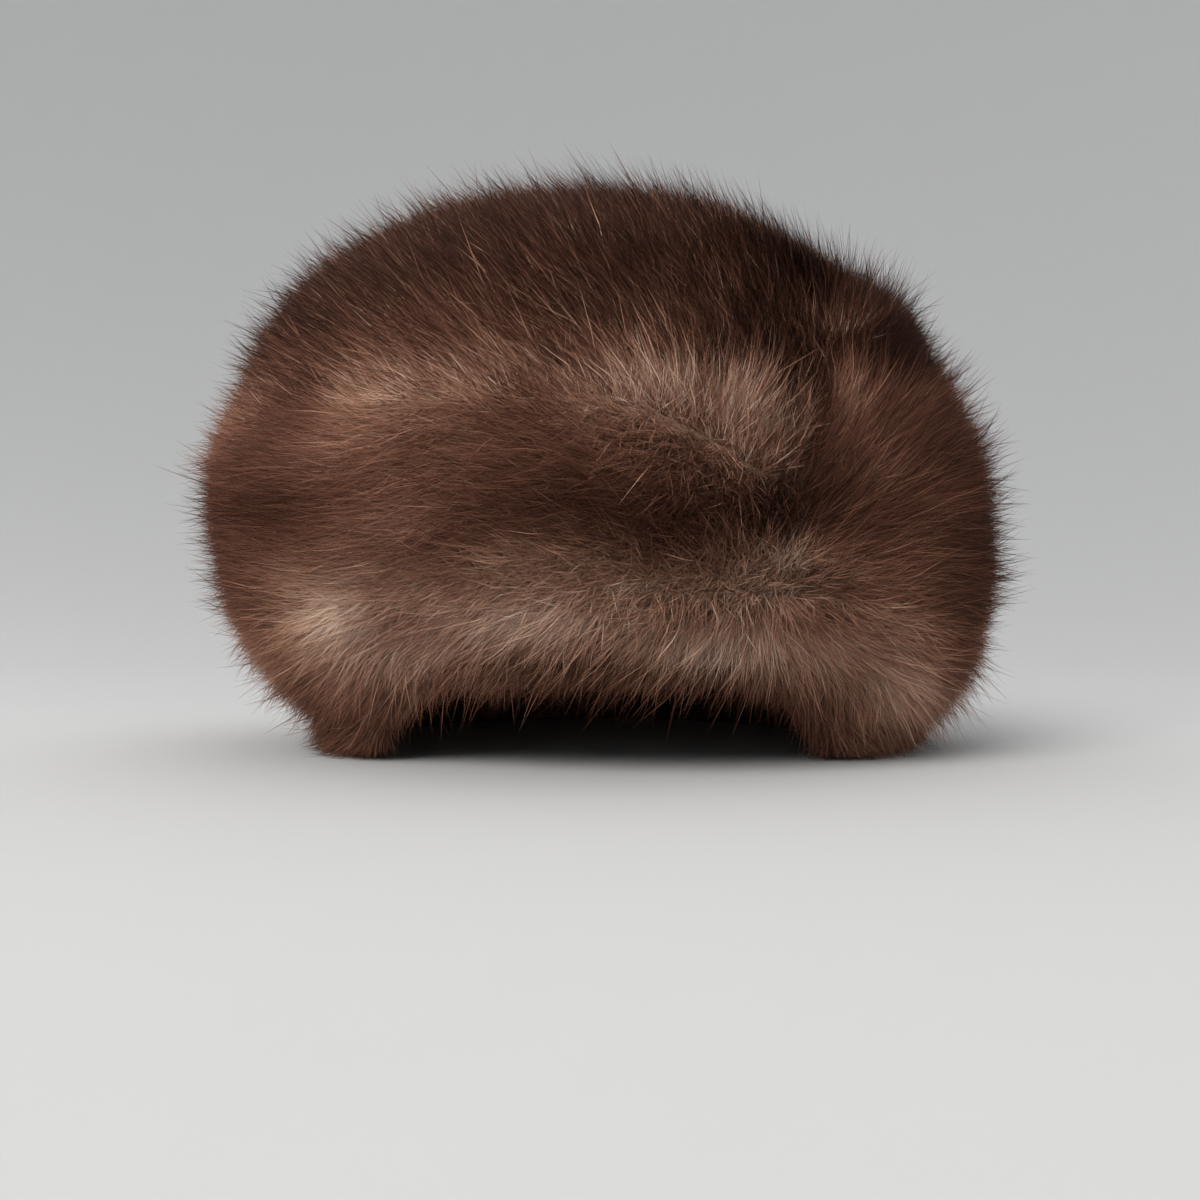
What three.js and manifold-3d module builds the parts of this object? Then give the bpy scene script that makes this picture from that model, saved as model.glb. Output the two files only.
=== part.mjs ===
// A tall, puffed fur beret, sewn from whole pelts laid on their sides in courses.
// Millimetres, +Z up. The hat rests on its turned-under rim, and its front faces -Y.
// Each solid is the outer form of the deep fur with the skin under it, and the hat is hollow.
import * as THREE from "three";
import { mergeVertices } from "three/addons/utils/BufferGeometryUtils.js";
import Module from "manifold-3d";

// Overall size over the dense fur, and the opening for the head
const WIDTH = 264;
const DEPTH = 270;
const HEAD_WIDTH = 158;
const HEAD_DEPTH = 196;

// Skin and fur together make the wall, and neighbouring pelts keep a seam between them
const WALL = 15;
const SEAM = 0.6;
// Steps round the hat, up the body's section and round each half of the rim's
const AROUND = 76;
const BODY_STEPS = 18;
const RIM_STEPS = 7;

// Sections of the hat's side from the low seam up to the top, at the hat's widest
const BODY_ROWS = [
  { reach: 126, height: 37 },
  { reach: 130, height: 52 },
  { reach: 132, height: 70 },
  { reach: 130.5, height: 90 },
  { reach: 125, height: 110 },
  { reach: 114.5, height: 133 },
  { reach: 96, height: 154 },
  { reach: 69, height: 171 },
  { reach: 37, height: 180 },
  { reach: 0, height: 183 },
];
// Sections of the rim from where it rests up to the low seam
const RIM_ROWS = [
  { reach: 96, height: 0 },
  { reach: 105, height: 3.5 },
  { reach: 115, height: 13 },
  { reach: 122, height: 25 },
  { reach: 126, height: 37 },
];
// The rim's turned-under part, from the wall above the brow down to where it rests
const TURN_UNDER_ROWS = [
  { reach: 98, height: 34 },
  { reach: 86, height: 26 },
  { reach: 80, height: 19 },
  { reach: 79, height: 11 },
  { reach: 81, height: 4 },
  { reach: 86, height: 0 },
];

// Upright joins of the middle course, in degrees from the front towards the right
const JOIN_FRONT = 21.5;
const JOIN_BACK = 195;

// The high seam's height round the hat: it dips to the upright join, and then climbs
// steeply in a groove and on round the right, to a notch in the outline
const HIGH_SEAM = [
  { azimuth: -180, height: 98 },
  { azimuth: -120, height: 100 },
  { azimuth: -60, height: 97 },
  { azimuth: -20, height: 90 },
  { azimuth: 5, height: 86 },
  { azimuth: 10, height: 81 },
  { azimuth: 19, height: 70 },
  { azimuth: 23, height: 72 },
  { azimuth: 28, height: 107 },
  { azimuth: 50, height: 123 },
  { azimuth: 75, height: 129 },
  { azimuth: 110, height: 118 },
  { azimuth: 150, height: 102 },
  { azimuth: 180, height: 98 },
];

// The front edge arches up over the brow
const ARCH = { rise: 19, flat_to: 24, ends_at: 52, fades_by: 64 };

// The soft body slumps: its top leans left, and its low side swells to the right outside the opening
const SLUMP = { top: -4.5, lean_ends_at: 150, level: 88, foot: 6, swell_from: 84 };

// The long oval round the head fades out upwards and outwards into the nearly round outside
const HEAD_OVAL = { low: 18, high: 40, reach: 112 };

// Creases and dents in the outer form: azimuth and half-angle in degrees, the rest in millimetres
const DENTS = [
  { at: "groove", azimuth: 25.5, half_angle: 4.5, height: 91, half_height: 22, depth: 5 },
  { at: "notch", azimuth: 76, half_angle: 18, height: 123, half_height: 7, depth: 7 },
  { at: "swell over notch", azimuth: 72, half_angle: 18, height: 139, half_height: 9, depth: -6 },
  { at: "dark dip", azimuth: 21, half_angle: 8, height: 65, half_height: 9, depth: 3.5 },
  { at: "low crease", azimuth: 15, half_angle: 9, height: 54, half_height: 5, depth: 2 },
  { at: "parting", azimuth: 11, half_angle: 9, height: 80, half_height: 6, depth: 2 },
  { at: "tuck at the left foot", azimuth: -68, half_angle: 30, height: 10, half_height: 21, depth: 7 },
  { at: "hollow of the back", azimuth: 176, half_angle: 34, height: 104, half_height: 22, depth: 4 },
];
// Dents leave the edge of the opening as it is, and reach their full depth this far outside it
const DENT_EASE = { from: 5, to: 25 };
// The crown's middle sinks a little, behind and right of the centre
const DIP = { right: 16, back: 24, spread: 46, depth: 4, above: 140 };

const wasm = await Module();
wasm.setup();

const TOP = BODY_ROWS[BODY_ROWS.length - 1].height;
const RADIUS = Math.max(...BODY_ROWS.map((row) => row.reach));
const BEYOND = 2 * RADIUS; // cutters reach past the hat
const ARC_STEP = 15; // degrees between the points of a slice's outer edge
const radians = THREE.MathUtils.degToRad;
const degrees = THREE.MathUtils.radToDeg;
const fade = (value, from, to) => THREE.MathUtils.smoothstep(value, from, to);
const bell = (distance, half) => Math.exp(-((distance / half) ** 2));

const azimuthOf = (point) => degrees(Math.atan2(point.x, -point.y));

function angleFrom(azimuth, other) {
  const turn = (((azimuth - other) % 360) + 540) % 360;
  return Math.abs(turn - 180);
}

function smoothLine(rows, steps) {
  const spline = new THREE.SplineCurve(rows.map((row) => new THREE.Vector2(row.reach, row.height)));
  return spline.getPoints(steps);
}

// The same line set back by the wall's thickness, towards the hollow
function innerLine(line) {
  return line.map((point, i) => {
    const before = line[Math.max(i - 1, 0)];
    const after = line[Math.min(i + 1, line.length - 1)];
    const along = after.clone().sub(before).normalize();
    const inner = new THREE.Vector2(point.x - along.y * WALL, point.y + along.x * WALL);
    if (point.x === 0) inner.x = 0;
    return inner;
  });
}

// LatheGeometry turns its profile about Y, so the ring is stood up to turn about Z
function turned(profile) {
  return new THREE.LatheGeometry(profile, AROUND).rotateX(Math.PI / 2);
}

// Everything above the low seam, before it is cut into pelts
function bodyForm() {
  const outer = smoothLine(BODY_ROWS, BODY_STEPS);
  outer[0].y += SEAM;
  const inner = innerLine(outer).filter((_, i) => i % 2 === 0);
  inner[0].y = outer[0].y;
  return turned([inner[0], ...outer, ...inner.slice(1).reverse(), inner[0]]);
}

function rimForm() {
  const outer = smoothLine(RIM_ROWS, RIM_STEPS);
  const under = smoothLine(TURN_UNDER_ROWS, RIM_STEPS);
  const seam = RIM_ROWS[RIM_ROWS.length - 1];
  const wallTop = new THREE.Vector2(seam.reach - WALL, seam.height);
  return turned([wallTop, ...under, ...outer, wallTop]);
}

// The high seam's height at an azimuth, between two rows of its table
function highSeam(azimuth) {
  const round = THREE.MathUtils.euclideanModulo(azimuth + 180, 360) - 180;
  const next = Math.max(HIGH_SEAM.findIndex((row) => row.azimuth >= round), 1);
  const [from, to] = [HIGH_SEAM[next - 1], HIGH_SEAM[next]];
  return THREE.MathUtils.mapLinear(round, from.azimuth, to.azimuth, from.height, to.height);
}

// How steeply the seam climbs at an azimuth, as its rise over the way round the wall
function climbOfSeam(azimuth) {
  const half = 360 / AROUND / 2;
  const rise = highSeam(azimuth + half) - highSeam(azimuth - half);
  return rise / (RADIUS * radians(2 * half));
}

// Everything over the high seam, set off from it by lift, to keep or to cut away.
// The underside has a ring on either side of the wall, so the cut through the wall is even,
// and a steep stretch is set off by more, so the two pelts are as far apart there as elsewhere.
function overSeam(lift) {
  const level = HIGH_SEAM[0].height + lift;
  const underside = [0, RADIUS - 3 * WALL, RADIUS - 1.5 * WALL, RADIUS - 0.5 * WALL, RADIUS, BEYOND];
  const block = turned([
    ...underside.map((reach) => new THREE.Vector2(reach, level)),
    new THREE.Vector2(BEYOND, BEYOND),
    new THREE.Vector2(0, BEYOND),
  ]);
  const position = block.attributes.position;
  const point = new THREE.Vector3();
  for (let i = 0; i < position.count; i += 1) {
    point.fromBufferAttribute(position, i);
    const onUnderside = point.z < TOP && Math.hypot(point.x, point.y) > 1;
    const azimuth = azimuthOf(point);
    const setOff = lift * Math.hypot(1, climbOfSeam(azimuth));
    if (onUnderside) position.setZ(i, highSeam(azimuth) + setOff);
  }
  return block;
}

function toSolid(geometry) {
  geometry.deleteAttribute("normal");
  geometry.deleteAttribute("uv");
  const merged = mergeVertices(geometry, 1e-4);
  return new wasm.Manifold(
    new wasm.Mesh({
      numProp: 3,
      vertProperties: merged.attributes.position.array,
      triVerts: new Uint32Array(merged.index.array),
    }),
  );
}

function toGeometry(solid) {
  const mesh = solid.getMesh();
  const geometry = new THREE.BufferGeometry();
  geometry.setAttribute("position", new THREE.BufferAttribute(mesh.vertProperties, 3));
  geometry.setIndex(new THREE.BufferAttribute(mesh.triVerts, 1));
  return geometry;
}

// A pie slice between two upright joins, in degrees from the front
function slice(from, to) {
  const opening = degrees(SEAM / (RADIUS - WALL)) / 2;
  const outline = new THREE.Shape();
  const steps = Math.ceil((to - from) / ARC_STEP);
  outline.moveTo(0, 0);
  for (let i = 0; i <= steps; i += 1) {
    const azimuth = radians(THREE.MathUtils.lerp(from + opening, to - opening, i / steps));
    outline.lineTo(BEYOND * Math.sin(azimuth), -BEYOND * Math.cos(azimuth));
  }
  outline.closePath();
  return new THREE.ExtrudeGeometry(outline, { depth: TOP, bevelEnabled: false });
}

// Moves a point of the round form to its place in the soft hat
function settle(point) {
  const reach = Math.hypot(point.x, point.y);
  const azimuth = azimuthOf(point);
  const { z } = point;

  let push = 0;
  for (const dent of DENTS) {
    const across = bell(angleFrom(azimuth, dent.azimuth), dent.half_angle);
    push += dent.depth * across * bell(z - dent.height, dent.half_height);
  }
  const dented = reach - push * fade(reach - HEAD_WIDTH / 2, DENT_EASE.from, DENT_EASE.to);
  const share = reach > 0 ? ((WIDTH / 2 / RADIUS) * dented) / reach : 1;

  // Round the head the opening is longer than wide, and outside the hat is nearly round
  const headOval = HEAD_DEPTH / HEAD_WIDTH;
  const outerOval = DEPTH / WIDTH;
  const lowDown = 1 - fade(z, HEAD_OVAL.low, HEAD_OVAL.high);
  const atHead = lowDown * (1 - fade(reach, HEAD_WIDTH / 2, HEAD_OVAL.reach));
  const oval = THREE.MathUtils.lerp(outerOval, headOval, atHead);

  const front = angleFrom(azimuth, 0);
  const arch = ARCH.rise * (1 - fade(front, ARCH.flat_to, ARCH.ends_at)) * (1 - fade(z, 0, ARCH.fades_by));
  const fromDip = Math.hypot(point.x - DIP.right, point.y - DIP.back);
  const dip = z > DIP.above ? DIP.depth * bell(fromDip, DIP.spread) : 0;
  const lean = SLUMP.top * fade(z, SLUMP.level, SLUMP.lean_ends_at);
  const swell = SLUMP.foot * (1 - fade(z, 0, SLUMP.level)) * fade(reach, SLUMP.swell_from, RADIUS);

  point.set(point.x * share + lean + swell, point.y * share * oval, z + arch - dip);
}

function settled(geometry) {
  geometry.deleteAttribute("normal");
  geometry.deleteAttribute("uv");
  const merged = mergeVertices(geometry, 1e-4);
  const position = merged.attributes.position;
  const point = new THREE.Vector3();
  for (let i = 0; i < position.count; i += 1) {
    point.fromBufferAttribute(position, i);
    settle(point);
    position.setXYZ(i, point.x, point.y, point.z);
  }
  merged.computeVertexNormals();
  return merged;
}

const hat = new THREE.Group();

function addPelt(name, form, color) {
  const fur = new THREE.MeshStandardMaterial({ color, roughness: 0.75, metalness: 0 });
  const pelt = new THREE.Mesh(settled(form), fur);
  pelt.name = name;
  hat.add(pelt);
}

const body = toSolid(bodyForm());
const crown = body.intersect(toSolid(overSeam(SEAM / 2)));
const middleCourse = body.subtract(toSolid(overSeam(-SEAM / 2)));
const sidePelt = (from, to) => toGeometry(middleCourse.intersect(toSolid(slice(from, to))));

addPelt("crown_pelt", toGeometry(crown), 0x3d2a22);
addPelt("side_pelt_left", sidePelt(JOIN_BACK - 360, JOIN_FRONT), 0x6b4a3d);
addPelt("side_pelt_right", sidePelt(JOIN_FRONT, JOIN_BACK), 0x5a3f33);
addPelt("rim_pelt", rimForm(), 0x7a5c4c);

// The origin is under the middle of the hat, where it rests
const middle = new THREE.Box3().setFromObject(hat).getCenter(new THREE.Vector3());
hat.position.set(-middle.x, -middle.y, 0);

export default hat;
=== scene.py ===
import functools
import itertools
import math
from collections import namedtuple

import bmesh
import bpy
import numpy as np
from bpy.props import FloatProperty, FloatVectorProperty, IntProperty, PointerProperty
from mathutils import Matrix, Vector
from mathutils.bvhtree import BVHTree


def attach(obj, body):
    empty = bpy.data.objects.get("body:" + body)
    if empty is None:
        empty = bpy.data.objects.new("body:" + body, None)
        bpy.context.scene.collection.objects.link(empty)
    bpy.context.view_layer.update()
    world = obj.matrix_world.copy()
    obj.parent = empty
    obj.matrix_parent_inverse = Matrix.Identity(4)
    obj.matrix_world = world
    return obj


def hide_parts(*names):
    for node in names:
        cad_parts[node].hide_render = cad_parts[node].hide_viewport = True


bl_info = {
    "name": "Fur Beret",
    "version": (1, 0, 0),
    "blender": (4, 5, 0),
    "location": "3D View > Sidebar > Fur Beret",
    "description": "Grows a puffed mink beret, pelt by pelt, round its fixed frame",
    "category": "Object",
}

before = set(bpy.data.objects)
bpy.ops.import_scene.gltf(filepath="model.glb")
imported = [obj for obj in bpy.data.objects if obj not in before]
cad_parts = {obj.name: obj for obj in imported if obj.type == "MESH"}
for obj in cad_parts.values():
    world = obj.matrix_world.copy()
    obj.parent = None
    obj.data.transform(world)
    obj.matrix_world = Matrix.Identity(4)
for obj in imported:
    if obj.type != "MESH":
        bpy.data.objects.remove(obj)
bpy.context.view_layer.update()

CROWN, LEFT, RIGHT, RIM = "crown_pelt", "side_pelt_left", "side_pelt_right", "rim_pelt"
PELTS = (CROWN, LEFT, RIGHT, RIM)


def rows(kind, values):
    """The rows of a table, with their columns by name."""
    return [kind(*value) for value in values]


# The camera is low before the hat's front, and what the photo shows is placed by its pixels
FRAME_SIZE = 1200
FRAME_MIDDLE = FRAME_SIZE / 2
FOCAL_PIXELS = 900.0
HORIZON_ROW = 655.0
CAMERA_PLACE = np.array((0.0, -0.330, 0.030))
CAMERA_PITCH = math.atan((HORIZON_ROW - FRAME_MIDDLE) / FOCAL_PIXELS)
CAMERA_RIGHT = np.array((1.0, 0.0, 0.0))
CAMERA_UP = np.array((0.0, -math.sin(CAMERA_PITCH), math.cos(CAMERA_PITCH)))
CAMERA_AHEAD = np.array((0.0, math.cos(CAMERA_PITCH), math.sin(CAMERA_PITCH)))

# The form is read as distances from a point inside the hat, on a grid of directions
HEART = np.array((0.0, 0.0, 0.070))
TURNS = 360
FALLS = 130
LOWEST_FALL = math.radians(110)
FALL_STEP = LOWEST_FALL / FALLS
TURN_STEP = math.tau / TURNS
FAR_OUT = 0.30
SMOOTHING = 0.0055
STRAY_READING = 0.004
HIGH_SEAM_BLUR = 1.5
LOW_SEAM_BLUR = 3.0

# The rim's roll is read in sections, each from its own middle
ROLL_STEPS = 60
ROLL_SECTOR = math.radians(4)
ROLL_OUT = 0.06
ROLL_TOP_SHARES = np.linspace(0.12, 0.62, 5)
SECTION_BLUR = 4.0
ROLL_BLUR, ROLL_BLUR_ACROSS = 3.0, 1.0
LOW_SEAM_BLEND = 0.010

# The walls' grids, and the gap between two walls as an angle at their distance from the heart
CROWN_GRID = (145, 27)
SIDE_GRID = (105, 19)
RIM_WALL_EVERY = 3
WALL_GAP = 0.00008
CROWN_GAP_ANGLE = WALL_GAP / 0.11
SIDE_GAP_ANGLE = WALL_GAP / 0.13
WELD_DISTANCE = 1e-5

# How deep the wool lies under the hair tips: shallower by a seam, over the width of the
# fluff there, and deeper on the crown and along the brow. Hairs grow from a bit deeper.
SEAM_FLUFF = 0.0065
SEAM_FILL = 0.5
CROWN_DEEPER = 1.5
BROW_DEEPER = 0.0036
BROW_MIDDLE, BROW_WIDTH = 0.60, 0.22
ROOT_DEEPER = 0.0008

# Where the rim turns under and where it closes, as shares of the way round the roll, and
# how much sparser, shorter and shallower its fur is there
TUCK_SHARES = (0.50, 0.70)
CLOSE_SHARES = (0.95, 1.0)
TUCK_SPARSER = 0.45
TUCK_SHORTER = 0.4
TUCK_SHALLOWER = 0.45

# The floor presses the fur flat between these heights, where its wool is thin and its
# hairs lie close. Over them the rim's hairs turn more loosely, by degrees.
PRESS_HEIGHTS = (0.0005, 0.011)
PRESS_THINNER = 0.97
PRESS_SHALLOWER = 0.75
PRESS_SINK = 0.0006
LEAST_HEIGHT = 0.00002
RIM_LOOSER = 8

# Hairs grow closer in front than behind, by this much for each metre
FRONT_MORE = 1.7

# The crown's fur is three pieces, each between two azimuths in degrees from the front
# towards the right, and each holds its share of the crown's hairs
CROWN_PARTS = [
    {"name": "crown_fur_left", "from": -120, "to": 0, "share": 0.385},
    {"name": "crown_fur_right", "from": 0, "to": 120, "share": 0.385},
    {"name": "crown_fur_back", "from": 120, "to": 240, "share": 0.23},
]

# How unruly each kind of hair is. Angles are in degrees. Share is its part of all hairs,
# uneven how much its lengths differ, gather how far a hair's tip leans to the middle of its
# lock, and tone how much paler it is than the fur about it. Dark and light are the shares
# of its hairs that are darker by DARK_HAIR or paler by PALE_AND_GLINT_HAIR; the paler ones are
# partly the fur's own pale hairs and partly painted glints of glossy guard hairs. Fluff and
# stray are how much more it stands up and turns by a seam, and tip is how far its colour gets
# on the way from the woolly foot to the dark tip.
KINDS = {
    "down": {
        "share": 0.46, "uneven": 0.20, "lift_loose": 11, "turn_lock": 10, "turn_loose": 29, "gather": 0.08,
        "tone": 0.05, "dark": 0.0, "light": 0.0, "fluff": 5, "stray": 22, "tip": 0.6,
    },
    "guard": {
        "share": 0.475, "uneven": 0.17, "lift_loose": 8, "turn_lock": 10, "turn_loose": 17, "gather": 0.14,
        "tone": -0.02, "dark": 0.30, "light": 0.09, "fluff": 5, "stray": 20, "tip": 1.0,
    },
    "wisp": {
        "share": 0.062, "uneven": 0.17, "lift_loose": 8, "turn_lock": 12, "turn_loose": 14, "gather": 0.66,
        "tone": -0.05, "dark": 0.36, "light": 0.03, "fluff": 4, "stray": 12, "tip": 1.0,
    },
    "stray": {
        "share": 0.002, "uneven": 0.25, "lift_loose": 10, "turn_lock": 10, "turn_loose": 34, "gather": 0.0,
        "tone": 0.15, "dark": 0.2, "light": 0.0, "fluff": 0, "stray": 0, "tip": 1.0,
    },
}
BENT_KINDS = ("wisp", "stray")
# Odd hairs are darker or paler by these; the paler ones are partly painted glints on glossy guard hairs
DARK_HAIR = 0.17
PALE_AND_GLINT_HAIR = 0.20
# Right by a seam, hairs are shorter by this share
SEAM_SHORTER = 0.34

# What each pelt changes in that: factors on the spread of tones, on the share of light
# hairs and on how much paler those are. On the crown the many much paler hairs are partly
# painted glints on its dark glossy guard hairs.
EVEN_COAT = {"spread": 1.0, "light": 0.3, "pale_and_glint_lift": 1.0}
COATS = {
    CROWN: {"spread": 2.3, "light": 1.3, "pale_and_glint_lift": 1.6},
    LEFT: EVEN_COAT,
    RIGHT: EVEN_COAT,
    RIM: EVEN_COAT,
}
# How far the tones of hairs differ, how much more in fur darker than a tone, and by lock
TONE_SPREAD = 0.085
DARK_SPREAD = 0.05
DARK_BELOW = 0.35
LOCK_TONE = 0.03

# How the fur wanders: the widths of its swells and the degrees that they turn or lift it.
# Each lock is also lifted by degrees and longer or shorter by a share.
SWIRL_SIZE, SWIRL_TURN = 0.009, 16
BROAD_SIZE, BROAD_TURN = 0.024, 11
WAVE_SIZE, WAVE_LIFT = 0.013, 5
LOCK_LIFT = 6
LOCK_LENGTH = 0.08

# A hair's blade: its bend and twist in degrees, how uneven its width is, how much of the
# gathering its knee takes, and how much its shading follows its face, the skin and its side.
# No draw goes further out than LOOSEST.
BLADE_BEND = 9
BLADE_TWIST = 60
BLADE_UNEVEN = 0.2
KNEE_GATHER = 0.35
SHADE_FACE, SHADE_SKIN, SHADE_SIDE = 0.65, 0.55, 0.28
LOOSEST = 2.2

# A short hair is one spike, and a bent one two triangles with its knee at their widest.
# Along is how far along the hair each corner is, and aside the side of it. On the bake
# chart each hair is a strip with this half width.
BENT_KNEE = 0.55
BENT = {
    "faces": np.array([0, 3, 1, 1, 3, 2]),
    "along": np.array([0, BENT_KNEE, 1, BENT_KNEE]),
    "aside": (0, -1, 0, 1),
}
SPIKE = {
    "faces": np.array([0, 1, 2]),
    "along": np.array([0.0, 0.0, 1.0]),
    "aside": (-1, 1, 0),
}
CHART_HALF = 0.008

# Hairs that would reach lower than the first height lie from the second one up, over a span
FLOOR_REACH = 0.0012
FLOOR_LOWEST = 0.0003
FLOOR_SPAN = 0.0009

# How the hairs of each pelt lie where the photo shows them, by its pixels. A bearing is in
# degrees in the picture: 0 points right, 90 up, 180 left.
SeenHair = namedtuple("SeenHair", "across down bearing")
SEEN_FLOW = {
    CROWN: rows(SeenHair, (
        (312, 288, 148), (330, 350, 150), (400, 230, 138), (400, 300, 140),
        (410, 370, 158), (480, 205, 134), (560, 200, 129), (560, 290, 130),
        (540, 360, 140), (600, 230, 125), (620, 390, 130), (680, 345, 118),
        (700, 210, 116), (705, 380, 108), (740, 395, 90), (750, 320, 116),
        (760, 240, 113), (778, 400, 68), (800, 340, 108), (830, 270, 108),
        (880, 315, 75), (905, 330, 48),
    )),
    LEFT: rows(SeenHair, (
        (600, 415, 164), (540, 425, 172), (690, 465, 212), (740, 470, 205),
        (415, 455, 202), (345, 540, 187), (255, 450, 175), (265, 530, 170),
        (290, 585, 160), (430, 590, 184), (580, 575, 162), (700, 585, 148),
        (680, 535, 145), (755, 575, 122), (785, 560, 92), (760, 525, 150),
        (786, 505, 150),
    )),
    RIGHT: rows(SeenHair, (
        (848, 365, 88), (870, 365, 80), (842, 430, 68), (825, 500, 80),
        (815, 570, 58), (887, 460, 48), (942, 408, 38), (960, 470, 12),
        (960, 530, 0), (880, 560, 10), (840, 540, 20),
    )),
    RIM: rows(SeenHair, (
        (355, 670, 235), (300, 645, 208), (420, 640, 195), (420, 680, 262),
        (480, 680, 250), (520, 635, 188), (600, 680, 240), (620, 640, 205),
        (700, 685, 238), (710, 645, 214), (760, 650, 235), (790, 690, 278),
        (800, 640, 320), (860, 650, 345), (850, 710, 290), (900, 720, 308),
        (940, 650, 342), (282, 662, 215), (380, 612, 184), (450, 616, 190),
        (540, 612, 194), (480, 655, 208), (560, 660, 220),
    )),
}
# How they lie round the sides and the back, at an azimuth in degrees from the front
# towards the right and a height in millimetres. The bearing is as seen from outside.
RoundHair = namedtuple("RoundHair", "azimuth height bearing")
ROUND_FLOW = {
    CROWN: rows(RoundHair, (
        (0, 176, 112), (-90, 165, 165), (-90, 125, 168), (-135, 150, 225),
        (-135, 115, 205), (180, 172, 270), (180, 130, 270), (135, 150, 315),
        (140, 120, 320), (90, 160, 10), (100, 135, 355),
    )),
    LEFT: rows(RoundHair, (
        (-90, 50, 190), (-95, 85, 172), (-130, 70, 185), (-160, 50, 195),
        (-160, 85, 176),
    )),
    RIGHT: rows(RoundHair, (
        (90, 60, 350), (90, 105, 12), (130, 75, 2), (165, 50, 345),
        (170, 85, 8),
    )),
    RIM: rows(RoundHair, (
        (85, 20, 335), (130, 20, 342), (162, 20, 325), (-165, 20, 215),
        (-130, 20, 195), (-90, 20, 205),
    )),
}
# A guide's pull on the hairs falls off with their distance from it. Where the skin is seen
# at a slant, it is taken to face the camera at least this much.
GUIDE_REACH = 0.006
GUIDE_FALLOFF = 1.75
LEAST_SLANT = -0.22

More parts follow.
